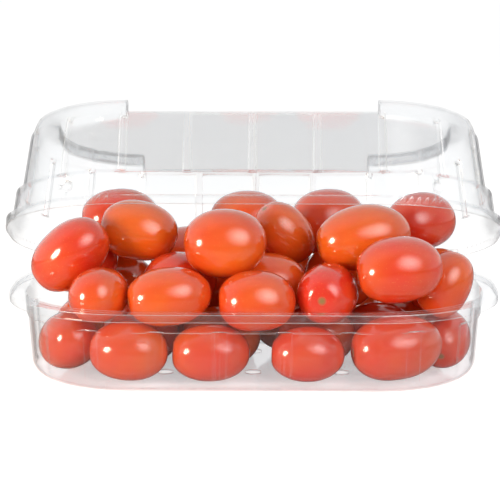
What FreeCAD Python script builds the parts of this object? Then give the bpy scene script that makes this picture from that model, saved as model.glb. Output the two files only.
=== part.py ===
import FreeCAD, Part
import math
import os
import re
import Sketcher

# A hinged clear punnet of plum cherry tomatoes, with its lid ajar.
# Frame: +X along the long side to the right, +Y towards the hinge, +Z up.
# The origin is the middle of the tray's underside. Everything is in millimetres.

# Driving dimensions: name, value, what it is
SIZES = (
    ("rim_length", 190.0, "tray rim, end to end"),
    ("rim_width", 110.0, "tray rim, front to back"),
    ("rim_corner", 48.5, "corner radius of the rim in plan"),
    ("film", 0.5, "thickness of the formed sheet"),
    ("tray_depth", 32.0, "top of the tray's flange above the table"),
    ("flange_width", 6.0, "flat flange of the tray"),
    ("lip_drop", 3.0, "turned-down edge of both rims"),
    ("ledge_drop", 8.5, "stacking ledge below the tray's flange"),
    ("ledge_width", 0.6, "how far the ledge stands out"),
    ("wall_lean", 2.2, "inward lean of the tray's wall over its height"),
    ("foot_round", 6.0, "rounding where the wall meets the base"),
    ("kick_up", 0.8, "rise of the base's middle panel"),
    ("panel_inset", 13.0, "base panel, in from the foot of the wall"),
    ("vent_hole", 6.0, "vent holes in the base"),
    ("vent_pitch", 34.0, "spacing of the vent holes"),
    ("flute_radius", 5.5, "radius of the tray's flutes"),
    ("flute_depth", 0.9, "how far a flute reaches in"),
    ("flute_pitch", 24.0, "spacing of flutes and ribs along the wall"),
    ("rim_gap", 0.3, "air between the two flanges when shut"),
    ("skirt_gap", 1.0, "air between the tray's lip and the lid's skirt"),
    ("skirt_stop", 16.0, "where lip and skirt end, in front of the back edge"),
    ("hinge_reach", 2.2, "crease behind the back edge of the rim"),
    ("hinge_length", 84.0, "length of the crease"),
    ("hinge_slack", 0.1, "half of the crease's own width"),
    ("ajar_angle", 22.0, "how far the lid stands open"),
    ("band_inset", 1.0, "foot of the lid's band, in from the tray's rim"),
    ("band_lean", 1.2, "inward lean of the band"),
    ("band_height", 11.0, "height of the lid's band"),
    ("shoulder_width", 2.2, "step between band and upper wall"),
    ("lid_height", 35.0, "top of the lid above its flange"),
    ("upper_lean", 3.0, "inward lean of the lid's upper wall"),
    ("top_round", 2.5, "rounding of the lid's top edge"),
    ("lug_height", 5.0, "stacking lugs above the lid's top"),
    ("lug_width", 11.0, "width of a stacking lug"),
    ("lug_lean", 1.6, "inward lean of a lug's sides"),
    ("saddle_length", 94.0, "low part of the top between the lugs"),
    ("rib_radius", 1.2, "radius of the lid's ribs"),
    ("rib_depth", 1.0, "how far a rib reaches in"),
    ("dimple_radius", 1.6, "radius of the small dimples in the band"),
    ("tomato_length", 34.0, "mean length of a tomato"),
    ("tomato_girth", 27.0, "mean thickness of a tomato"),
    ("tomato_gap", 0.27, "air kept between neighbours"),
    ("scar_radius", 2.0, "radius of the stem scar"),
    ("scar_depth", 0.7, "depth of the stem scar"),
)

# Where the tomatoes start before they settle, chosen by eye from the photograph:
# place along, across and up in a 190 by 110 tray, turn about Z, tilt, length, girth.
# Length and girth are shares of the mean tomato.
HEAP_PLAN = (190.0, 110.0)
HEAP = (
    (55, -31, 11, 14, 4, 1.10, 0.96),
    (29, -35, 12, 0, 0, 0.88, 0.82),
    (-17, -34, 12, 4, 0, 0.91, 0.85),
    (-50, -33, 13, -8, 0, 0.91, 0.88),
    (-73, -13, 13, -60, 20, 0.85, 0.88),
    (78, -8, 13, 80, 20, 0.80, 0.82),
    (-66, 14, 13, 60, 0, 0.88, 0.92),
    (-46, -6, 13, 10, 0, 0.94, 0.92),
    (-12, -10, 13, -5, 0, 0.94, 0.92),
    (30, -11, 13, 8, 0, 0.94, 0.92),
    (54, 5, 13, -30, 0, 0.88, 0.88),
    (-40, 21, 13, -25, 0, 0.94, 0.92),
    (-11, 32, 13, 5, 0, 0.94, 0.92),
    (22, 19, 13, -4, 0, 0.94, 0.92),
    (52, 30, 13, 15, 0, 0.91, 0.88),
    (-6, -38, 22, 2, 0, 0.90, 0.89),
    (24, -30, 38, 80, 0, 0.88, 0.90),
    (58, -28, 34, 8, 8, 1.00, 0.98),
    (-34, -29, 34, 12, 5, 0.97, 0.86),
    (-53, -31, 31, -110, 0, 0.80, 0.82),
    (-73, -16, 38, -8, 42, 1.03, 0.92),
    (2, -4, 38, 0, 0, 0.91, 0.92),
    (72, -10, 36, 20, 60, 0.82, 0.80),
    (84, 4, 34, 55, 10, 0.88, 0.96),
    (-78, 10, 44, -10, 15, 0.97, 0.96),
    (-34, -2, 36, 30, 0, 0.91, 0.90),
    (36, 2, 36, -20, 0, 0.91, 0.92),
    (-30, 30, 36, 0, 0, 0.94, 0.96),
    (0, 13, 30, 8, 0, 0.94, 0.96),
    (34, 34, 34, -8, 0, 0.94, 0.96),
    (3, 36, 36, 8, 0, 0.94, 0.96),
    (-58, 32, 33, 8, 0, 0.88, 0.92),
    (60, 32, 34, 15, 0, 0.91, 0.90),
    (-46, -4, 51, 0, -12, 0.94, 0.92),
    (-15, -12, 49, 0, 5, 0.98, 1.01),
    (10, 6, 54, 20, -50, 0.85, 0.80),
    (42, -8, 53, 8, 10, 1.12, 0.96),
    (-54, 34, 54, 5, 0, 1.00, 1.00),
    (2, 32, 60, -5, 0, 0.94, 0.96),
    (25, 32, 58, 10, 0, 0.94, 1.06),
    (70, 27, 46, 25, 0, 0.88, 0.90),
)

# Balls that stand for a tomato while the heap settles
BALLS = 9
# Settling: rounds, drop in a round, pull back to the start, step for a slope
SETTLE_ROUNDS = 400
SINK = 0.12
HOLD = 0.05
NUDGE = 0.01
# Where the dimples sit round the front corners, in degrees
DIMPLE_TURN = -62.0

doc = FreeCAD.newDocument("punnet")
sheet = doc.addObject("Spreadsheet::Sheet", "sizes")
for row, (alias, value, note) in enumerate(SIZES, start=1):
    sheet.set("A%d" % row, note)
    sheet.set("B%d" % row, str(value))
    sheet.setAlias("B%d" % row, alias)
doc.recompute()


def size(alias):
    """A driving dimension, read from the sheet."""
    return float(sheet.get(alias))


def sized(words):
    """Turn names of sizes into an expression that the sheet can answer."""
    names = "|".join(row[0] for row in SIZES)
    return re.sub(r"\b(%s)\b" % names, r"sizes.\1", words)


def plane_of(body):
    """The body's own XY plane."""
    return next(item for item in body.Origin.OriginFeatures if item.Role == "XY_Plane")


def outline(body, name, inset, height):
    """A rounded rectangle, parallel to the rim, at one height."""
    sketch = body.newObject("Sketcher::SketchObject", name)
    sketch.AttachmentSupport = [(plane_of(body), "")]
    sketch.MapMode = "FlatFace"
    inward = sketch.evalExpression(sized("(%s) * 1" % inset))
    half_x = size("rim_length") / 2 - inward
    half_y = size("rim_width") / 2 - inward
    corner = size("rim_corner") - inward
    flat_x = half_x - corner
    flat_y = half_y - corner
    vector = FreeCAD.Vector
    ends = [
        vector(-flat_x, -half_y), vector(flat_x, -half_y),
        vector(half_x, -flat_y), vector(half_x, flat_y),
        vector(flat_x, half_y), vector(-flat_x, half_y),
        vector(-half_x, flat_y), vector(-half_x, -flat_y),
    ]
    centres = [
        vector(flat_x, -flat_y), vector(flat_x, flat_y),
        vector(-flat_x, flat_y), vector(-flat_x, -flat_y),
    ]
    for side in range(4):
        sketch.addGeometry(Part.LineSegment(ends[2 * side], ends[2 * side + 1]))
    for turn, centre in enumerate(centres):
        start = math.radians(90 * turn - 90)
        circle = Part.Circle(centre, vector(0, 0, 1), corner)
        sketch.addGeometry(Part.ArcOfCircle(circle, start, start + math.pi / 2))
    rule = Sketcher.Constraint
    for side in range(4):
        sketch.addConstraint(rule("Tangent", side, 2, 4 + side, 1))
        sketch.addConstraint(rule("Tangent", 4 + side, 2, (side + 1) % 4, 1))
        sketch.addConstraint(rule("Horizontal" if side % 2 == 0 else "Vertical", side))
    for arc in (5, 6, 7):
        sketch.addConstraint(rule("Equal", 4, arc))
    sketch.addConstraint(rule("Symmetric", 4, 3, 6, 3, -1, 1))
    drives = (
        (rule("DistanceX", 3, 1, 1, 1, 2 * half_x), "rim_length - 2 * (%s)"),
        (rule("DistanceY", 0, 1, 2, 1, 2 * half_y), "rim_width - 2 * (%s)"),
        (rule("Radius", 4, corner), "rim_corner - (%s)"),
    )
    for constraint, words in drives:
        place = sketch.addConstraint(constraint)
        sketch.setExpression("Constraints[%d]" % place, sized(words % inset))
    sketch.setExpression("AttachmentOffset.Base.z", sized(height))
    return sketch


def loft(body, name, sections, kind="PartDesign::AdditiveLoft"):
    """A straight-sided loft through outlines, given as (inset, height) pairs."""
    outlines = [
        outline(body, "%s_outline_%d" % (name, place + 1), inset, height)
        for place, (inset, height) in enumerate(sections)
    ]
    feature = body.newObject(kind, name)
    feature.Profile = outlines[0]
    feature.Sections = outlines[1:]
    feature.Ruled = True
    return feature


def level_edges(shape, height):
    """Names of the edges that lie flat at one height."""
    return [
        "Edge%d" % (place + 1)
        for place, edge in enumerate(shape.Edges)
        if abs(edge.BoundBox.ZMin - height) < 1e-4 and abs(edge.BoundBox.ZMax - height) < 1e-4
    ]


def round_over(body, name, feature, height, radius):
    """Round the edges that lie at one height."""
    doc.recompute()
    fillet = body.newObject("PartDesign::Fillet", name)
    fillet.Base = (feature, level_edges(feature.Shape, height))
    fillet.setExpression("Radius", sized(radius))
    return fillet


def plate(name, inset, low, high):
    """A flat prism between two heights, with the rim's outline."""
    body = doc.addObject("PartDesign::Body", name)
    loft(body, name + "_block", ((inset, low), (inset, high)))
    return body


def box(name, corner, extent):
    """A box from expressions for its corner and its extent."""
    block = doc.addObject("Part::Box", name)
    for axis, words in zip("xyz", corner):
        block.setExpression("Placement.Base." + axis, sized(words))
    for side, words in zip(("Length", "Width", "Height"), extent):
        block.setExpression(side, sized(words))
    return block


def join(name, pieces):
    fusion = doc.addObject("Part::MultiFuse", name)
    fusion.Shapes = pieces
    return fusion


def cut(name, base, tool):
    difference = doc.addObject("Part::Cut", name)
    difference.Base = base
    difference.Tool = tool
    return difference


def outline_stations(inset, pitch, first):
    """Points along the outline at an even pitch from its middle, with their outward turn."""
    corner = size("rim_corner") - inset
    flat_x = size("rim_length") / 2 - size("rim_corner")
    flat_y = size("rim_width") / 2 - size("rim_corner")
    quarter = flat_x + corner * math.pi / 2 + flat_y
    stations = []
    travel = first
    while travel <= quarter:
        if travel < flat_x:
            point = (travel, flat_y + corner, 90.0)
        elif travel < quarter - flat_y:
            turn = math.pi / 2 - (travel - flat_x) / corner
            point = (
                flat_x + corner * math.cos(turn),
                flat_y + corner * math.sin(turn),
                math.degrees(turn),
            )
        else:
            point = (flat_x + corner, quarter - travel, 0.0)
        for sign_x in (1, -1):
            for sign_y in (1, -1):
                x, y = sign_x * point[0], sign_y * point[1]
                stations.append((x, y, math.degrees(math.atan2(
                    sign_y * math.sin(math.radians(point[2])),
                    sign_x * math.cos(math.radians(point[2]))))))
        travel += pitch
    kept = []
    for station in stations:
        if all(math.dist(station[:2], other[:2]) > pitch / 4 for other in kept):
            kept.append(station)
    return kept


def grooves(name, stations, radius, depth, skin, low, high, lean):
    """Round bars that press grooves into a wall, which leans in by one angle as it rises."""
    bars = []
    for place, (x, y, outward) in enumerate(stations):
        bar = doc.addObject("Part::Cylinder", "%s_%d" % (name, place + 1))
        bar.setExpression("Radius", sized("%s + %s" % (radius, skin)))
        bar.Height = (high - low) / math.cos(lean)
        away = size(radius) - depth
        turn = math.radians(outward)
        foot = FreeCAD.Vector(x + away * math.cos(turn), y + away * math.sin(turn), low)
        sideways = FreeCAD.Vector(-math.sin(turn), math.cos(turn), 0)
        bar.Placement = FreeCAD.Placement(foot, FreeCAD.Rotation(sideways, -math.degrees(lean)))
        bars.append(bar)
    return join(name, bars)


FOOT_INSET = "flange_width + ledge_width + wall_lean"
LEDGE_INSET = "flange_width + ledge_width + wall_lean * ledge_drop / tray_depth"


def tray_form(name, skin):
    """The tray's form as a solid, drawn in by one skin."""
    body = doc.addObject("PartDesign::Body", name)
    floor = "0 + %s" % skin
    ledge = "tray_depth - ledge_drop + %s" % skin
    lower = loft(body, name + "_lower", (
        ("%s + %s" % (FOOT_INSET, skin), floor),
        ("%s + %s" % (LEDGE_INSET, skin), ledge),
    ))
    level = 0.0 if skin == "0" else size("film")
    round_over(body, name + "_foot", lower, level, "foot_round - %s" % skin)
    loft(body, name + "_upper", (
        ("%s - ledge_width + %s" % (LEDGE_INSET, skin), ledge),
        ("flange_width + %s" % skin, "tray_depth"),
    ))
    loft(body, name + "_panel", (
        ("%s + panel_inset - %s" % (FOOT_INSET, skin), floor),
        ("%s + panel_inset + kick_up - %s" % (FOOT_INSET, skin), "kick_up + %s" % skin),
    ), "PartDesign::SubtractiveLoft")
    foot = size("flange_width") + size("ledge_width") + size("wall_lean")
    stations = outline_stations(foot, size("flute_pitch"), size("flute_pitch") / 2)
    lean = -math.atan(size("wall_lean") / size("tray_depth"))
    top = size("tray_depth") - size("ledge_drop")
    flutes = grooves(name + "_flute", stations, "flute_radius", size("flute_depth"), skin, 0.0, top, lean)
    return cut(name + "_fluted", body, flutes)


def vents():
    """Vent holes through the base panel."""
    holes = []
    for column in (-1, 0, 1):
        for line in (-0.5, 0.5):
            hole = doc.addObject("Part::Cylinder", "vent_%d" % (len(holes) + 1))
            hole.setExpression("Radius", sized("vent_hole / 2"))
            hole.setExpression("Height", sized("2 * kick_up + 2 * film"))
            hole.setExpression("Placement.Base.x", sized("%d * vent_pitch" % column))
            hole.setExpression("Placement.Base.y", sized("%.1f * vent_pitch" % line))
            holes.append(hole)
    return join("vents", holes)


def rear_cutter(name, low, high):
    """What trims the turned-down edges beside the hinge."""
    return box(
        name,
        ("-rim_length", "rim_width / 2 - skirt_stop", low),
        ("2 * rim_length", "rim_width", "%s - (%s)" % (high, low)),
    )


def build_tray():
    """The tray: formed wall and base, flange, turned-down lip and its half of the hinge."""
    lip_outer = plate("tray_lip_outer", "0", "tray_depth - lip_drop", "tray_depth - film")
    lip_inner = plate("tray_lip_inner", "film", "tray_depth - lip_drop", "tray_depth - film")
    lip = cut("tray_lip", cut("tray_lip_ring", lip_outer, lip_inner),
              rear_cutter("tray_lip_end", "tray_depth - lip_drop", "tray_depth - film"))
    flange = plate("tray_flange", "0", "tray_depth - film", "tray_depth")
    leaf = box(
        "tray_leaf",
        ("-hinge_length / 2", "rim_width / 2 - flange_width / 2", "tray_depth - film"),
        ("hinge_length", "flange_width / 2 + hinge_reach - hinge_slack", "film"),
    )
    skin = join("tray_skin", [tray_form("tray_outside", "0"), flange, lip, leaf])
    hollow = join("tray_hollow", [tray_form("tray_inside", "film"), vents()])
    return cut("tray", skin, hollow)


LID_FOOT = "tray_depth + rim_gap"
LID_GROW = "-(skirt_gap + film)"
SHOULDER_INSET = "band_inset + band_lean + shoulder_width"
TOP_INSET = "band_inset + band_lean + shoulder_width + upper_lean"


def lid_form(name, skin):
    """The lid's form as a solid, drawn in by one skin, shut over the tray."""
    body = doc.addObject("PartDesign::Body", name)
    shoulder = "%s + band_height - %s" % (LID_FOOT, skin)
    top = "%s + lid_height - %s" % (LID_FOOT, skin)
    loft(body, name + "_band", (
        ("band_inset + %s" % skin, LID_FOOT),
        ("band_inset + band_lean + %s" % skin, shoulder),
    ))
    upper = loft(body, name + "_upper", (
        ("%s + %s" % (SHOULDER_INSET, skin), shoulder),
        ("%s + %s" % (TOP_INSET, skin), top),
    ))
    drop = 0.0 if skin == "0" else size("film")
    crown = size("tray_depth") + size("rim_gap") + size("lid_height") - drop
    round_over(body, name + "_top", upper, crown, "top_round - %s" % skin)
    low = size("tray_depth") + size("rim_gap") + size("band_height") - drop
    inset = sum(size(word) for word in ("band_inset", "band_lean", "shoulder_width"))
    lean = math.atan(size("upper_lean") / (size("lid_height") - size("band_height")))
    stations = outline_stations(inset, size("flute_pitch"), 0.0)
    ribs = grooves(
        name + "_rib", stations, "rib_radius", size("rib_depth"), skin, low, crown + 1, lean)
    pressed = join(name + "_marks", [ribs, dimples(name, skin)])
    ribbed = cut(name + "_ribbed", body, pressed)
    return join(name + "_raised", [ribbed, lugs(name, skin, top)])


def lugs(name, skin, top):
    """The raised lugs that run round both ends of the top and hold the next pack."""
    ring = doc.addObject("PartDesign::Body", name + "_lugs")
    sink = "%s - top_round" % top
    crest = "%s + lug_height" % top
    loft(ring, name + "_lug_outer", (
        ("%s + %s" % (TOP_INSET, skin), sink),
        ("%s + lug_lean + %s" % (TOP_INSET, skin), "%s - top_round" % crest),
        ("%s + lug_lean + top_round / 3 + %s" % (TOP_INSET, skin), "%s - top_round / 3" % crest),
        ("%s + lug_lean + top_round + %s" % (TOP_INSET, skin), crest),
    ))
    inner = plate(
        name + "_lug_inner", "%s + lug_width - %s" % (TOP_INSET, skin), sink, crest + " + 1")
    saddle = box(
        name + "_saddle",
        ("-saddle_length / 2 - %s" % skin, "-rim_width", sink),
        ("saddle_length + 2 * %s" % skin, "2 * rim_width", "lug_height + top_round + 1"),
    )
    return cut(name + "_lug_ends", ring, join(name + "_lug_cutter", [inner, saddle]))


def dimples(name, skin):
    """Balls that press small dimples into the band near its front corners."""
    reach = size("band_inset") + size("band_lean") / 2
    flat_x = size("rim_length") / 2 - size("rim_corner")
    corner = size("rim_corner") - reach
    flat_y = size("rim_width") / 2 - size("rim_corner")
    balls = []
    for side in (-1, 1):
        ball = doc.addObject("Part::Sphere", "%s_dimple_%d" % (name, len(balls) + 1))
        ball.setExpression("Radius", sized("dimple_radius + %s" % skin))
        turn = math.radians(DIMPLE_TURN)
        ball.Placement.Base = FreeCAD.Vector(
            side * (flat_x + corner * math.cos(turn)),
            -flat_y + corner * math.sin(turn),
            size("tray_depth") + size("rim_gap") + size("band_height") / 2)
        balls.append(ball)
    return join(name + "_dimples", balls)


def build_lid():
    """The lid: domed form, flange, turned-down skirt and its half of the hinge."""
    foot = LID_FOOT
    skirt_outer = plate("lid_skirt_outer", LID_GROW, "%s - lip_drop" % foot, foot)
    skirt_inner = plate("lid_skirt_inner", LID_GROW + " + film", "%s - lip_drop" % foot, foot)
    skirt = cut("lid_skirt", cut("lid_skirt_ring", skirt_outer, skirt_inner),
                rear_cutter("lid_skirt_end", "%s - lip_drop" % foot, foot))
    flange = plate("lid_flange", LID_GROW, foot, foot + " + film")
    leaf = box(
        "lid_leaf",
        ("-hinge_length / 2", "rim_width / 2", foot),
        ("hinge_length", "hinge_reach - hinge_slack", "film"),
    )
    skin = join("lid_skin", [lid_form("lid_outside", "0"), flange, skirt, leaf])
    lid = cut("lid", skin, lid_form("lid_inside", "film"))
    open_lid(lid)
    return lid


def open_lid(lid):
    """Turn the lid about its crease by the ajar angle."""
    back = "(rim_width / 2 + hinge_reach)"
    high = "(tray_depth + rim_gap / 2)"
    lid.Placement.Rotation = FreeCAD.Rotation(FreeCAD.Vector(-1, 0, 0), size("ajar_angle"))
    lid.setExpression("Placement.Rotation.Angle", sized("ajar_angle * 1 deg"))
    turned_y = "%s * cos(ajar_angle) + %s * sin(ajar_angle)" % (back, high)
    turned_z = "%s * cos(ajar_angle) - %s * sin(ajar_angle)" % (high, back)
    lid.setExpression("Placement.Base.y", sized("%s - (%s)" % (back, turned_y)))
    lid.setExpression("Placement.Base.z", sized("%s - (%s)" % (high, turned_z)))


def build_tomato(name, length_share, girth_share):
    """A plum tomato: half an ellipse turned about its long axis, with its stem scar."""
    body = doc.addObject("PartDesign::Body", name)
    sketch = body.newObject("Sketcher::SketchObject", name + "_profile")
    sketch.AttachmentSupport = [(plane_of(body), "")]
    sketch.MapMode = "FlatFace"
    half_length = size("tomato_length") * length_share / 2
    half_girth = size("tomato_girth") * girth_share / 2
    scar_radius, scar_depth = size("scar_radius"), size("scar_depth")
    vector = FreeCAD.Vector
    scar_turn = math.pi - math.asin(scar_radius / half_girth)
    ellipse = Part.Ellipse(vector(half_length, 0), vector(0, half_girth), vector(0, 0))
    scar = vector(half_length * math.cos(scar_turn), scar_radius)
    pit = vector(scar.x + scar_depth, 0)
    tip = vector(half_length, 0)
    sketch.addGeometry(Part.ArcOfEllipse(ellipse, 0, scar_turn))
    sketch.addGeometry(Part.LineSegment(scar, pit))
    sketch.addGeometry(Part.LineSegment(pit, tip))
    sketch.exposeInternalGeometry(0)
    rule = Sketcher.Constraint
    sketch.addConstraint(rule("Coincident", 0, 3, -1, 1))
    sketch.addConstraint(rule("PointOnObject", 3, 1, -1))
    sketch.addConstraint(rule("PointOnObject", 0, 1, -1))
    sketch.addConstraint(rule("Coincident", 0, 2, 1, 1))
    sketch.addConstraint(rule("Coincident", 1, 2, 2, 1))
    sketch.addConstraint(rule("Coincident", 2, 2, 0, 1))
    sketch.addConstraint(rule("PointOnObject", 1, 2, -1))
    drives = (
        (rule("Distance", 3, 2 * half_length), "tomato_length * %r" % length_share),
        (rule("Distance", 4, 2 * half_girth), "tomato_girth * %r" % girth_share),
        (rule("DistanceY", -1, 1, 0, 2, scar_radius), "scar_radius"),
        (rule("DistanceX", 1, 1, 1, 2, scar_depth), "scar_depth"),
    )
    for constraint, words in drives:
        place = sketch.addConstraint(constraint)
        sketch.setExpression("Constraints[%d]" % place, sized(words))
    turned = body.newObject("PartDesign::Revolution", name + "_flesh")
    turned.Profile = sketch
    turned.ReferenceAxis = (sketch, ["H_Axis"])
    turned.Angle = 360
    return body


def chain_of_balls(length, girth, turn, tilt):
    """The tomato as the balls that fit inside it along its axis: offsets and radii."""
    half_length, half_girth = length / 2, girth / 2
    square = half_length ** 2 - half_girth ** 2
    reach = square / half_length
    turn, tilt = math.radians(turn), math.radians(tilt)
    balls = []
    for place in range(BALLS):
        along = reach * (2 * place / (BALLS - 1) - 1)
        flat = along * math.cos(tilt)
        radius = half_girth * math.sqrt(1 - along ** 2 / square)
        balls.append((flat * math.cos(turn), flat * math.sin(turn), along * math.sin(tilt), radius))
    return balls


def room_inside(x, y, z):
    """How far a point stands from the tray's inner wall, or the lid's above the rim."""
    inset = sum(size_of[word] for word in ("flange_width", "ledge_width", "film", "flute_depth"))
    inset += size_of["wall_lean"] * max(0.0, 1 - z / size_of["tray_depth"])
    flat_x = size_of["rim_length"] / 2 - size_of["rim_corner"]
    flat_y = size_of["rim_width"] / 2 - size_of["rim_corner"]
    corner = size_of["rim_corner"] - inset
    past_x, past_y = abs(x) - flat_x, abs(y) - flat_y
    outside = math.hypot(max(past_x, 0), max(past_y, 0)) + min(max(past_x, past_y), 0)
    return corner - outside


def deepest_clash(one, other, gap):
    """How far two tomatoes press into each other, and along which line."""
    off_x = other["x"] - one["x"]
    off_y = other["y"] - one["y"]
    off_z = other["z"] - one["z"]
    reach = one["reach"] + other["reach"] + gap
    deepest, line = 0.0, None
    if off_x * off_x + off_y * off_y + off_z * off_z > reach * reach:
        return deepest, line
    for ax, ay, az, a_radius in one["balls"]:
        for bx, by, bz, b_radius in other["balls"]:
            dx, dy, dz = off_x + bx - ax, off_y + by - ay, off_z + bz - az
            touch = a_radius + b_radius + gap
            square = dx * dx + dy * dy + dz * dz
            if square < touch * touch:
                apart = math.sqrt(square)
                if touch - apart > deepest:
                    deepest = touch - apart
                    line = (dx / apart, dy / apart, dz / apart)
    return deepest, line


def keep_inside(tomato, floor, ceiling, gap):
    """Hold a tomato above the floor, under the shut lid and off the walls."""
    low = min(tomato["z"] + dz - radius for _, _, dz, radius in tomato["balls"])
    high = max(tomato["z"] + dz + radius for _, _, dz, radius in tomato["balls"])
    if high > ceiling:
        tomato["z"] -= high - ceiling
    if low < floor:
        tomato["z"] += floor - low
    for dx, dy, dz, radius in tomato["balls"]:
        x, y, z = tomato["x"] + dx, tomato["y"] + dy, tomato["z"] + dz
        room = room_inside(x, y, z)
        short = radius + gap - room
        if short > 0:
            tomato["x"] += short * (room_inside(x + NUDGE, y, z) - room) / NUDGE
            tomato["y"] += short * (room_inside(x, y + NUDGE, z) - room) / NUDGE


def settle(heap):
    """Let the heap sink a little and push its tomatoes apart until none overlap."""
    gap = size("tomato_gap")
    floor = size("film") + size("kick_up") + gap
    ceiling = size("tray_depth") + size("rim_gap") + size("lid_height") - size("film") - 3 * gap
    for turn in range(SETTLE_ROUNDS):
        calm = max(0.0, 1 - turn / (0.75 * SETTLE_ROUNDS))
        for tomato in heap:
            tomato["z"] -= SINK * calm
            tomato["x"] += HOLD * calm * (tomato["home"][0] - tomato["x"])
            tomato["y"] += HOLD * calm * (tomato["home"][1] - tomato["y"])
        for place, one in enumerate(heap):
            for other in heap[place + 1:]:
                depth, line = deepest_clash(one, other, gap)
                if depth > 0:
                    for axis, part in zip("xyz", line):
                        one[axis] -= part * depth / 2
                        other[axis] += part * depth / 2
        for tomato in heap:
            keep_inside(tomato, floor, ceiling, gap)


def build_tomatoes():
    """Every tomato of the heap as a body of its own, settled in the tray."""
    spread_x = size("rim_length") / HEAP_PLAN[0]
    spread_y = size("rim_width") / HEAP_PLAN[1]
    heap = []
    for x, y, z, turn, tilt, length_share, girth_share in HEAP:
        length = size("tomato_length") * length_share
        girth = size("tomato_girth") * girth_share
        heap.append({
            "x": x * spread_x, "y": y * spread_y, "z": z,
            "home": (x * spread_x, y * spread_y),
            "reach": length / 2,
            "balls": chain_of_balls(length, girth, turn, tilt),
        })
    settle(heap)
    bodies = []
    for place, (tomato, row) in enumerate(zip(heap, HEAP), start=1):
        body = build_tomato("tomato_%02d" % place, row[5], row[6])
        turned = FreeCAD.Rotation(FreeCAD.Vector(0, 0, 1), row[3])
        tilted = FreeCAD.Rotation(FreeCAD.Vector(0, 1, 0), -row[4])
        body.Placement = FreeCAD.Placement(
            FreeCAD.Vector(tomato["x"], tomato["y"], tomato["z"]), turned.multiply(tilted))
        bodies.append(body)
    return bodies


def write_parts(pieces):
    """Check the document and every piece, then write each to its own file."""
    doc.recompute()
    for item in doc.Objects:
        if "Invalid" in item.State or "Error" in item.State:
            raise RuntimeError("%s did not build" % item.Label)
    os.makedirs("parts", exist_ok=True)
    for piece in pieces:
        if piece.Shape.isNull() or not piece.Shape.isValid():
            raise RuntimeError("%s has no sound shape" % piece.Label)
        piece.Shape.exportStep("parts/%s.step" % piece.Label)


size_of = {row[0]: size(row[0]) for row in SIZES}
tray = build_tray()
lid = build_lid()
tomatoes = build_tomatoes()
write_parts([tray, lid] + tomatoes)
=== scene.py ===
import math
import random

import bpy
from bpy.props import FloatProperty, FloatVectorProperty, IntProperty, PointerProperty
from mathutils import Matrix, Vector


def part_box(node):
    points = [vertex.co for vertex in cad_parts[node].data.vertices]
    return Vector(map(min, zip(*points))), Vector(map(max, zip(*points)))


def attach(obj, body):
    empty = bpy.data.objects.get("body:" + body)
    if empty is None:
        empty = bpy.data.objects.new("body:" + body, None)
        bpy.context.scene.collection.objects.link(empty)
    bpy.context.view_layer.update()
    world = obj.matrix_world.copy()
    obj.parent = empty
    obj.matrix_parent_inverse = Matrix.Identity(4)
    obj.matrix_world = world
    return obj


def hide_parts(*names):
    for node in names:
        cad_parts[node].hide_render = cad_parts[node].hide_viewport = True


bl_info = {
    "name": "Hinged produce punnet",
    "version": (1, 0, 0),
    "blender": (4, 5, 0),
    "location": "3D View > Sidebar > Punnet",
    "description": "Dresses a clear hinged punnet and its plum cherry tomatoes",
    "category": "Object",
}

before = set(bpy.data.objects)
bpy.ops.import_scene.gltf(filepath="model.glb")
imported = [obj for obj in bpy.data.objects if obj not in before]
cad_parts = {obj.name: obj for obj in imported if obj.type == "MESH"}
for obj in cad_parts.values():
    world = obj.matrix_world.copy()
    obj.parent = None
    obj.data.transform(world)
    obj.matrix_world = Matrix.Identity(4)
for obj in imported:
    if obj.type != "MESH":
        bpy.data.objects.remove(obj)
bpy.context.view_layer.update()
TOMATO_NODES = sorted(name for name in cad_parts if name.startswith("tomato"))
TRAY_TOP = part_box("tray")[1].z

# Corners closer than this are one corner
MERGE = 0.000002
# Folds of the sheet that are sharper than this stay crisp
SMOOTH_ANGLE = math.radians(32)
# How fast the painted shade darkens the sheet towards where it is seen edge on, and how fast
# the sheet mirrors there
EDGE_SHADE_POWER = 6.0
MIRROR_POWER = 5.0
MIRROR_LEAST = 0.025
MIRROR_MOST = 0.7
# An ellipse is 2, and more is blunter at the ends
PLUM_BLUNT = 2.15
# How far the rings round the scar are pushed in, as shares of half a tomato
PIT_DEPTHS = (0.045, 0.040, 0.022, 0.006)
# Turns of the rule that finds a tomato's long axis
AXIS_TURNS = 60
# Layers of sheet that a ray may pass
FILM_LAYERS = 32
# Where the lamps stand, seen from the middle of the rim, and how far away
KEY_SIDE = (0.47, -0.74, 0.50)
SPARK_SIDE = (-0.79, -0.60, 0.15)
LAMP_DISTANCE = 0.9
# The floor's side, and how far it lies below the foot
FLOOR_SIZE = 8.0
FLOOR_DROP = 0.0002


# Sizes and colours that a user would change


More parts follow.
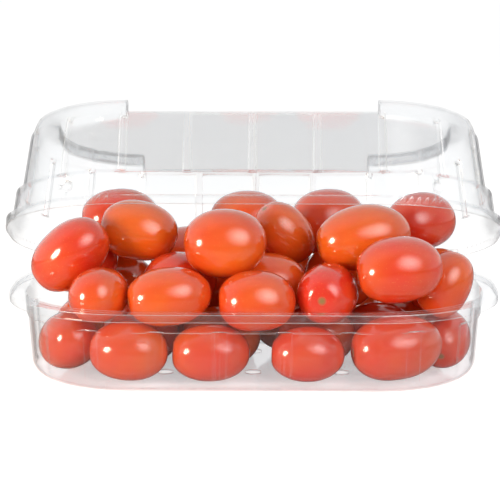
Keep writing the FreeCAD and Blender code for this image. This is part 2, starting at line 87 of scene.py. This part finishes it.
class FilmSettings(bpy.types.PropertyGroup):
    """Looks of the clear formed sheet."""

    clear: FloatVectorProperty(
        name="Clear tint", description="What one skin of the sheet lets through face on",
        subtype="COLOR", size=3, min=0, max=1, default=(0.978, 0.983, 0.987))
    # Edge tint is painted shade: a grey that darkens the see-through colour edge on, standing
    # in for the grey outlines that refraction and reflected surroundings give
    edge: FloatVectorProperty(
        name="Edge tint", description="What one skin lets through where it is seen edge on",
        subtype="COLOR", size=3, min=0, max=1, default=(0.86, 0.87, 0.885))
    haze: FloatProperty(
        name="Haze", description="Share of the surface that scatters light like milk glass",
        subtype="FACTOR", min=0, max=1, default=0.002)
    gloss: FloatProperty(
        name="Gloss roughness", description="Roughness of the reflections",
        subtype="FACTOR", min=0, max=1, default=0.04)
    ripple_size: FloatProperty(
        name="Ripple size", description="Length of the slow waves left by forming",
        subtype="DISTANCE", unit="LENGTH", min=0.001, default=0.012)
    ripple_depth: FloatProperty(
        name="Ripple depth", description="Height of the slow waves left by forming",
        subtype="DISTANCE", unit="LENGTH", min=0, default=0.0002)
    fold_radius: FloatProperty(
        name="Fold radius", description="Radius of the shine along every fold of the sheet",
        subtype="DISTANCE", unit="LENGTH", min=0, default=0.00049)
    fold_shine: FloatProperty(
        name="Fold shine", description="How much more a fold mirrors than a flat does",
        min=0, default=5.0)
    # Fold haze is a painted highlight: milky white laid along the folds to stand in for the
    # white lines that light mirrored on rounded folds gives
    fold_painted_highlight: FloatProperty(
        name="Fold haze", description="How much milkier a stretched fold is than a flat",
        min=0, default=6.0)


class TomatoSettings(bpy.types.PropertyGroup):
    """Looks and form of the tomatoes."""

    ripe: FloatVectorProperty(
        name="Ripe red", description="Colour of a ripe skin",
        subtype="COLOR", size=3, min=0, max=1, default=(0.76, 0.040, 0.016))
    warm: FloatVectorProperty(
        name="Warm orange", description="Colour of the less ripe patches",
        subtype="COLOR", size=3, min=0, max=1, default=(0.84, 0.14, 0.012))
    scar: FloatVectorProperty(
        name="Scar", description="Colour of the corky stem scar",
        subtype="COLOR", size=3, min=0, max=1, default=(0.30, 0.20, 0.06))
    around: IntProperty(
        name="Facets around", description="Facets round a tomato before it is smoothed",
        min=12, max=96, default=36)
    along: IntProperty(
        name="Facets along", description="Rings along a tomato before it is smoothed",
        min=8, max=64, default=26)
    lump_size: FloatProperty(
        name="Lump size", description="Length of the uneven swellings of the skin",
        subtype="DISTANCE", unit="LENGTH", min=0.001, default=0.016)
    lump_depth: FloatProperty(
        name="Lump depth", description="Depth of the uneven swellings of the skin",
        subtype="DISTANCE", unit="LENGTH", min=0, default=0.0009)


class StageSettings(bpy.types.PropertyGroup):
    """Camera, lamps and floor."""

    target: FloatVectorProperty(
        name="Target", description="Point that the camera looks at",
        subtype="TRANSLATION", unit="LENGTH", size=3, default=(-0.0015, 0.0, 0.046))
    distance: FloatProperty(
        name="Distance", description="Camera to target",
        subtype="DISTANCE", unit="LENGTH", min=0.1, default=0.7)
    elevation: FloatProperty(
        name="Elevation", description="Height of the camera above the horizon",
        subtype="ANGLE", unit="ROTATION", default=math.radians(10.5))
    swing: FloatProperty(
        name="Swing", description="Turn of the camera to the right round the target",
        subtype="ANGLE", unit="ROTATION", default=math.radians(1.0))
    lens: FloatProperty(
        name="Lens", description="Focal length on a sensor 36 mm wide",
        min=10, default=128.4)
    fill: FloatProperty(
        name="Sky light", description="Strength of the even light from all round",
        min=0, default=0.23)
    key: FloatProperty(
        name="Key light", description="Power of the large soft lamp on the right",
        unit="POWER", min=0, default=19.0)
    spark: FloatProperty(
        name="Spark light", description="Power of the small warm lamp on the left",
        unit="POWER", min=0, default=10.0)
    floor: FloatVectorProperty(
        name="Floor", description="Colour of the floor",
        subtype="COLOR", size=3, min=0, max=1, default=(0.93, 0.93, 0.93))


class PunnetSettings(bpy.types.PropertyGroup):
    """All settings of the punnet."""

    film: PointerProperty(type=FilmSettings)
    tomato: PointerProperty(type=TomatoSettings)
    stage: PointerProperty(type=StageSettings)


# Small helpers


def select_only(*objects):
    """Deselect everything, then select these and make the first one active."""
    if bpy.context.object and bpy.context.object.mode != "OBJECT":
        bpy.ops.object.mode_set(mode="OBJECT")
    bpy.ops.object.select_all(action="DESELECT")
    for item in objects:
        item.select_set(True)
    bpy.context.view_layer.objects.active = objects[0]


def wire(tree, made, **inputs):
    """Set a node's sockets by number or name: plain values, or sockets to link."""
    for name, value in inputs.items():
        socket = made.inputs[int(name[1:]) if name[1:].isdigit() else name.replace("_", " ")]
        if isinstance(value, bpy.types.NodeSocket):
            tree.links.new(value, socket)
        else:
            socket.default_value = value


def node(tree, kind, **inputs):
    """Add a shader node with its sockets set."""
    made = tree.nodes.new(kind)
    wire(tree, made, **inputs)
    return made


def maths(tree, operation, first, second, third=0.0, clamp=False):
    """Add a sum on two or three values and give back its result."""
    made = node(tree, "ShaderNodeMath", _0=first, _1=second, _2=third)
    made.operation = operation
    made.use_clamp = clamp
    return made.outputs[0]


def ramp(tree, value, start, end, smooth=False):
    """Carry a value from one range to another and hold it at both ends."""
    made = node(tree, "ShaderNodeMapRange", Value=value, From_Min=start[0], From_Max=start[1],
                To_Min=end[0], To_Max=end[1])
    if smooth:
        made.interpolation_type = "SMOOTHSTEP"
    return made.outputs[0]


def blend(tree, share, first, second):
    """Mix two colours, plain or from sockets, and give back the result."""
    made = tree.nodes.new("ShaderNodeMix")
    made.data_type = "RGBA"
    wire(tree, made, _0=share, _6=first, _7=second)
    return made.outputs[2]


def attribute(tree, name):
    """The value that a piece carries under a name."""
    made = tree.nodes.new("ShaderNodeAttribute")
    made.attribute_name = name
    return made.outputs["Fac"]


def new_material(name):
    """An empty node material and its tree."""
    material = bpy.data.materials.new(name)
    material.use_nodes = True
    material.node_tree.nodes.clear()
    return material, material.node_tree


def colour(rgb):
    """A colour with full cover."""
    return (rgb[0], rgb[1], rgb[2], 1.0)


def dress(piece, material):
    """Give a piece one material."""
    piece.data.materials.clear()
    piece.data.materials.append(material)


# Materials


def film_material(film):
    """Clear formed sheet: painted shade greys it edge on, and its folds mirror more and carry
    a painted highlight of milky white.
    """
    if "formed_film" in bpy.data.materials:
        return bpy.data.materials["formed_film"]
    material, tree = new_material("formed_film")
    place = node(tree, "ShaderNodeTexCoord")
    ripple = node(tree, "ShaderNodeTexNoise", Vector=place.outputs["Object"],
                  Scale=1 / film.ripple_size, Detail=1.0)
    fold = node(tree, "ShaderNodeBevel", Radius=film.fold_radius)
    fold.samples = 4
    flat = node(tree, "ShaderNodeNewGeometry")
    same = node(tree, "ShaderNodeVectorMath", _0=fold.outputs[0], _1=flat.outputs["Normal"])
    same.operation = "DOT_PRODUCT"
    folded = maths(tree, "SUBTRACT", 1.0, same.outputs["Value"])
    bump = node(tree, "ShaderNodeBump", Height=ripple.outputs["Fac"],
                Distance=film.ripple_depth, Strength=1.0, Normal=fold.outputs[0])
    turn = node(tree, "ShaderNodeLayerWeight", Blend=0.5, Normal=bump.outputs["Normal"])

    # Painted shade: the see-through tint turns grey where the sheet is seen edge on
    edge_shade_share = maths(tree, "POWER", turn.outputs["Facing"], EDGE_SHADE_POWER)
    tint = blend(tree, edge_shade_share, colour(film.clear), colour(film.edge))
    through = node(tree, "ShaderNodeBsdfTransparent", Color=tint)
    # Milky white: the sheet's own slight haze, plus a painted highlight along the folds
    milk = node(tree, "ShaderNodeBsdfDiffuse", Color=(0.9, 0.92, 0.94, 1.0))
    haze_and_fold_highlight = maths(tree, "MULTIPLY_ADD", folded, film.fold_painted_highlight, film.haze, clamp=True)
    body = node(tree, "ShaderNodeMixShader", _0=haze_and_fold_highlight, _1=through.outputs[0],
                _2=milk.outputs[0])

    shine = node(tree, "ShaderNodeBsdfGlossy", Color=(1.0, 1.0, 1.0, 1.0),
                 Roughness=film.gloss, Normal=bump.outputs["Normal"])
    sharp = maths(tree, "POWER", turn.outputs["Facing"], MIRROR_POWER)
    share = ramp(tree, sharp, (0.0, 1.0), (MIRROR_LEAST, MIRROR_MOST))
    mirror = maths(tree, "MULTIPLY_ADD", folded, film.fold_shine, share, clamp=True)
    whole = node(tree, "ShaderNodeMixShader", _0=mirror, _1=body.outputs[0],
                 _2=shine.outputs[0])
    node(tree, "ShaderNodeOutputMaterial", Surface=whole.outputs[0])
    return material


def tomato_material(tomato):
    """Taut glossy skin, patchy from red to orange, with pale specks and a corky scar."""
    material, tree = new_material("plum_skin")
    place = node(tree, "ShaderNodeTexCoord")
    patches = node(tree, "ShaderNodeTexNoise", Vector=place.outputs["Object"],
                   Scale=42.0, Detail=2.0, Roughness=0.55)
    unripe = maths(tree, "ADD", patches.outputs["Fac"], attribute(tree, "ripeness"))
    skin = blend(tree, ramp(tree, unripe, (0.72, 1.35), (0.0, 1.0)),
                 colour(tomato.ripe), colour(tomato.warm))
    specks = node(tree, "ShaderNodeTexVoronoi", Vector=place.outputs["Object"], Scale=900.0)
    dots = ramp(tree, specks.outputs["Distance"], (0.10, 0.22), (0.28, 0.0))
    speckled = blend(tree, dots, skin, (0.86, 0.26, 0.06, 1.0))
    cork = ramp(tree, attribute(tree, "along"), (-0.998, -0.992), (1.0, 0.0))
    finished = blend(tree, cork, speckled, colour(tomato.scar))

    peel = node(tree, "ShaderNodeTexNoise", Vector=place.outputs["Object"], Scale=700.0,
                Detail=2.0)
    bump = node(tree, "ShaderNodeBump", Height=peel.outputs["Fac"], Distance=0.00002,
                Strength=0.6)
    rough = ramp(tree, cork, (0.0, 1.0), (0.20, 0.75))
    flesh = node(tree, "ShaderNodeBsdfPrincipled", Base_Color=finished,
                 Roughness=rough, Normal=bump.outputs["Normal"], IOR=1.42,
                 Subsurface_Weight=0.25, Subsurface_Radius=(1.0, 0.25, 0.08),
                 Subsurface_Scale=0.003, Coat_Weight=1.0, Coat_Roughness=0.03)
    node(tree, "ShaderNodeOutputMaterial", Surface=flesh.outputs[0])
    return material


# Pieces


def smooth_copy(node_name, piece_name):
    """A welded, smooth-shaded copy of a formed node, at the origin."""
    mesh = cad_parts[node_name].data.copy()
    piece = bpy.data.objects.new(piece_name, mesh)
    bpy.context.scene.collection.objects.link(piece)
    select_only(piece)
    bpy.ops.object.mode_set(mode="EDIT")
    bpy.ops.mesh.select_all(action="SELECT")
    bpy.ops.mesh.remove_doubles(threshold=MERGE)
    bpy.ops.mesh.select_all(action="DESELECT")
    bpy.ops.object.mode_set(mode="OBJECT")
    bpy.ops.object.shade_smooth_by_angle(angle=SMOOTH_ANGLE)
    even = piece.modifiers.new("even", "WEIGHTED_NORMAL")
    even.keep_sharp = True
    even.weight = 90
    bpy.ops.object.modifier_apply(modifier="even")
    return piece


class PUNNET_OT_tray(bpy.types.Operator):
    """The clear tray with its flange, ledge, flutes and foot"""

    bl_idname = "punnet.tray"
    bl_label = "Make the tray"

    def execute(self, context):
        tray = smooth_copy("tray", "tray_film")
        dress(tray, film_material(context.scene.punnet.film))
        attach(tray, "tray")
        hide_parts("tray")
        return {"FINISHED"}


class PUNNET_OT_lid(bpy.types.Operator):
    """The clear domed lid with its band, ribs and stacking lugs"""

    bl_idname = "punnet.lid"
    bl_label = "Make the lid"

    def execute(self, context):
        lid = smooth_copy("lid", "lid_film")
        dress(lid, film_material(context.scene.punnet.film))
        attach(lid, "lid")
        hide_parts("lid")
        return {"FINISHED"}


def lie_of(node_name):
    """Where a tomato lies: its middle, its long axis towards the scar, its two sizes."""
    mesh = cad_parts[node_name].data
    mesh.calc_loop_triangles()
    points = [vertex.co for vertex in mesh.vertices]
    volume, middle = 0.0, Vector((0, 0, 0))
    corners = [[points[place] for place in triangle.vertices]
               for triangle in mesh.loop_triangles]
    for a, b, c in corners:
        wedge = a.dot(b.cross(c)) / 6
        volume += wedge
        middle += wedge * (a + b + c) / 4
    middle /= volume
    spread = Matrix(((0, 0, 0), (0, 0, 0), (0, 0, 0)))
    for a, b, c in corners:
        area = (b - a).cross(c - a).length / 2
        arm = (a + b + c) / 3 - middle
        for row in range(3):
            for column in range(3):
                spread[row][column] += area * arm[row] * arm[column]
    axis = Vector((1, 0.2, 0.1)).normalized()
    for _ in range(AXIS_TURNS):
        axis = (spread @ axis).normalized()
    ahead = max((point - middle).dot(axis) for point in points)
    behind = max((middle - point).dot(axis) for point in points)
    if ahead < behind:
        axis = -axis
        ahead, behind = behind, ahead
    across = max(((point - middle) - (point - middle).dot(axis) * axis).length
                 for point in points)
    return middle, axis, ahead, across


def plum_reach(share):
    """Thickness of a plum tomato at a share of its half length, of its full thickness."""
    return max(1 - abs(share) ** PLUM_BLUNT, 0.0) ** (1 / PLUM_BLUNT)


def model_tomato(tomato):
    """One plum tomato, two units long and thick, its scar towards minus X."""
    bpy.ops.object.select_all(action="DESELECT")
    bpy.ops.mesh.primitive_uv_sphere_add(
        segments=tomato.around, ring_count=tomato.along, radius=1.0,
        rotation=(0, math.pi / 2, 0))
    model = bpy.context.object
    model.name = "tomato_model"
    bpy.ops.object.transform_apply(location=False, rotation=True, scale=False)
    bpy.ops.object.mode_set(mode="EDIT")
    bpy.ops.mesh.select_all(action="DESELECT")
    bpy.ops.object.mode_set(mode="OBJECT")
    rings = {}
    for vertex in model.data.vertices:
        rings.setdefault(round(vertex.co.x, 4), []).append(vertex.index)
    for x, ring in rings.items():
        now = math.sqrt(max(1 - x * x, 0))
        if now < 0.01:
            continue
        for index in ring:
            model.data.vertices[index].select = True
        grow = plum_reach(x) / now
        bpy.ops.object.mode_set(mode="EDIT")
        bpy.ops.transform.resize(value=(1, grow, grow), center_override=(x, 0, 0))
        bpy.ops.mesh.select_all(action="DESELECT")
        bpy.ops.object.mode_set(mode="OBJECT")
    for depth, x in zip(PIT_DEPTHS, sorted(rings)):
        for index in rings[x]:
            model.data.vertices[index].select = True
        bpy.ops.object.mode_set(mode="EDIT")
        bpy.ops.transform.translate(value=(depth, 0, 0))
        bpy.ops.mesh.select_all(action="DESELECT")
        bpy.ops.object.mode_set(mode="OBJECT")
    along = model.data.attributes.new("along", "FLOAT", "POINT")
    for x, ring in rings.items():
        for index in ring:
            along.data[index].value = x
    select_only(model)
    bpy.ops.object.shade_smooth()
    return model


class PUNNET_OT_tomatoes(bpy.types.Operator):
    """The heap of plum cherry tomatoes, each where its solid lies"""

    bl_idname = "punnet.tomatoes"
    bl_label = "Make the tomatoes"

    def execute(self, context):
        tomato = context.scene.punnet.tomato
        skin = tomato_material(tomato)
        model = model_tomato(tomato)
        lumps = bpy.data.textures.new("skin_lumps", "CLOUDS")
        lumps.noise_scale = tomato.lump_size
        lumps.noise_depth = 0
        choice = random.Random(7)
        for node_name in TOMATO_NODES:
            middle, axis, ahead, across = lie_of(node_name)
            piece = model.copy()
            piece.data = model.data.copy()
            piece.name = node_name.replace("tomato", "plum_tomato")
            context.scene.collection.objects.link(piece)
            roll = Matrix.Rotation(choice.uniform(0, math.tau), 4, "X")
            turned = axis.to_track_quat("X", "Z").to_matrix().to_4x4()
            sized = Matrix.Diagonal((ahead, across, across, 1.0))
            piece.matrix_world = Matrix.Translation(middle) @ turned @ sized @ roll
            ripeness = piece.data.attributes.new("ripeness", "FLOAT", "POINT")
            share = choice.uniform(0.25, 0.85)
            ripeness.data.foreach_set("value", [share] * len(piece.data.vertices))
            select_only(piece)
            bpy.ops.object.transform_apply(location=True, rotation=True, scale=True)
            smooth = piece.modifiers.new("smooth", "SUBSURF")
            smooth.levels = 1
            smooth.render_levels = 1
            bpy.ops.object.modifier_apply(modifier="smooth")
            uneven = piece.modifiers.new("uneven", "DISPLACE")
            uneven.texture = lumps
            uneven.texture_coords = "LOCAL"
            uneven.strength = tomato.lump_depth
            uneven.mid_level = 1.0
            bpy.ops.object.modifier_apply(modifier="uneven")
            dress(piece, skin)
            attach(piece, "tray")
            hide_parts(node_name)
        bpy.data.objects.remove(model)
        return {"FINISHED"}


# Stage


def white_world(context, strength):
    """Even light from all round, seen as plain white, and mirrored darker in front."""
    world = bpy.data.worlds.new("studio")
    context.scene.world = world
    world.use_nodes = True
    tree = world.node_tree
    tree.nodes.clear()
    ray = node(tree, "ShaderNodeLightPath")
    seen = maths(tree, "MAXIMUM", ray.outputs["Is Camera Ray"], ray.outputs["Is Glossy Ray"])
    clear = maths(tree, "MAXIMUM", seen, ray.outputs["Is Transmission Ray"])
    place = node(tree, "ShaderNodeTexCoord")
    side = node(tree, "ShaderNodeSeparateXYZ", Vector=place.outputs["Generated"])
    wall = ramp(tree, side.outputs["Y"], (-0.75, 0.0), (0.26, 1.0), smooth=True)
    mirrored = node(tree, "ShaderNodeMix", _0=ray.outputs["Is Camera Ray"], _2=wall, _3=1.0)
    level = node(tree, "ShaderNodeMix", _0=clear, _2=strength, _3=mirrored.outputs[0])
    sky = node(tree, "ShaderNodeBackground", Color=(1.0, 1.0, 1.0, 1.0),
               Strength=level.outputs[0])
    node(tree, "ShaderNodeOutputWorld", Surface=sky.outputs[0])


def soft_lamp(context, name, direction, sides, core, power, tint):
    """A softbox that faces the middle of the punnet and fades from its core outwards."""
    data = bpy.data.lights.new(name, "AREA")
    data.shape = "RECTANGLE"
    data.size, data.size_y = sides
    data.energy = power
    data.color = tint
    data.use_nodes = True
    tree = data.node_tree
    tree.nodes.clear()
    place = node(tree, "ShaderNodeNewGeometry")
    off = node(tree, "ShaderNodeVectorMath", _0=place.outputs["Parametric"],
               _1=(0.5, 0.5, 0.0))
    off.operation = "DISTANCE"
    fade = ramp(tree, off.outputs["Value"], (core, 0.5), (1.0, 0.0), smooth=True)
    glow = node(tree, "ShaderNodeEmission", Strength=fade)
    node(tree, "ShaderNodeOutputLight", Surface=glow.outputs[0])
    lamp = bpy.data.objects.new(name, data)
    context.scene.collection.objects.link(lamp)
    aim = Vector(direction).normalized()
    lamp.location = Vector((0, 0, TRAY_TOP)) + aim * LAMP_DISTANCE
    lamp.rotation_euler = aim.to_track_quat("Z", "Y").to_euler()


def set_camera(context, stage):
    """A long lens that looks at the target from the front."""
    back = Vector((
        math.sin(stage.swing) * math.cos(stage.elevation),
        -math.cos(stage.swing) * math.cos(stage.elevation),
        math.sin(stage.elevation)))
    data = bpy.data.cameras.new("camera")
    data.lens = stage.lens
    data.sensor_width = 36.0
    data.clip_start = 0.01
    camera = bpy.data.objects.new("camera", data)
    context.scene.collection.objects.link(camera)
    camera.location = Vector(stage.target) + back * stage.distance
    camera.rotation_euler = back.to_track_quat("Z", "Y").to_euler()
    context.scene.camera = camera


def floor_material(paint_colour):
    """Pale paint, lifted to white for the camera and mirrored darker in front."""
    material, tree = new_material("floor")
    ray = node(tree, "ShaderNodeLightPath")
    place = node(tree, "ShaderNodeTexCoord")
    side = node(tree, "ShaderNodeSeparateXYZ", Vector=place.outputs["Object"])
    front = ramp(tree, side.outputs["Y"], (-0.45, -0.03), (0.8, 0.0), smooth=True)
    dim = maths(tree, "MULTIPLY", ray.outputs["Is Glossy Ray"], front)
    tone = blend(tree, dim, colour(paint_colour), (0.0, 0.0, 0.0, 1.0))
    paint = node(tree, "ShaderNodeBsdfDiffuse", Color=tone)
    lift = maths(tree, "MULTIPLY", ray.outputs["Is Camera Ray"], 0.80)
    glow = node(tree, "ShaderNodeEmission", Strength=lift)
    both = node(tree, "ShaderNodeAddShader", _0=paint.outputs[0], _1=glow.outputs[0])
    node(tree, "ShaderNodeOutputMaterial", Surface=both.outputs[0])
    return material


class PUNNET_OT_stage(bpy.types.Operator):
    """Pale floor, soft lamps and the camera"""

    bl_idname = "punnet.stage"
    bl_label = "Set the stage"

    def execute(self, context):
        stage = context.scene.punnet.stage
        context.scene.view_settings.view_transform = "Standard"
        context.scene.cycles.transparent_max_bounces = FILM_LAYERS
        set_camera(context, stage)
        white_world(context, stage.fill)
        soft_lamp(context, "key_lamp", KEY_SIDE, (1.05, 1.15), 0.0,
                  stage.key, (1.0, 0.98, 0.96))
        soft_lamp(context, "spark_lamp", SPARK_SIDE, (0.30, 0.34), 0.34,
                  stage.spark, (1.0, 0.86, 0.66))
        bpy.ops.object.select_all(action="DESELECT")
        bpy.ops.mesh.primitive_plane_add(size=FLOOR_SIZE, location=(0, 0, -FLOOR_DROP))
        floor = context.object
        floor.name = "floor"
        dress(floor, floor_material(stage.floor))
        return {"FINISHED"}


class PUNNET_PT_panel(bpy.types.Panel):
    """Lists the punnet's settings and makers"""

    bl_idname = "PUNNET_PT_panel"
    bl_label = "Punnet"
    bl_space_type = "VIEW_3D"
    bl_region_type = "UI"
    bl_category = "Punnet"

    def draw(self, context):
        settings = context.scene.punnet
        for label, group, makers in (
            ("Film", settings.film, ("punnet.tray", "punnet.lid")),
            ("Tomatoes", settings.tomato, ("punnet.tomatoes",)),
            ("Stage", settings.stage, ("punnet.stage",)),
        ):
            box = self.layout.box()
            box.label(text=label)
            for name in group.__annotations__:
                box.prop(group, name)
            for maker in makers:
                box.operator(maker)


CLASSES = (
    FilmSettings, TomatoSettings, StageSettings, PunnetSettings,
    PUNNET_OT_tray, PUNNET_OT_lid, PUNNET_OT_tomatoes, PUNNET_OT_stage, PUNNET_PT_panel,
)


def register():
    for item in CLASSES:
        bpy.utils.register_class(item)
    bpy.types.Scene.punnet = PointerProperty(type=PunnetSettings)


def unregister():
    del bpy.types.Scene.punnet
    for item in reversed(CLASSES):
        bpy.utils.unregister_class(item)


def main():
    register()
    bpy.ops.punnet.stage()
    bpy.ops.punnet.tray()
    bpy.ops.punnet.lid()
    bpy.ops.punnet.tomatoes()


if __name__ == "__main__":
    main()
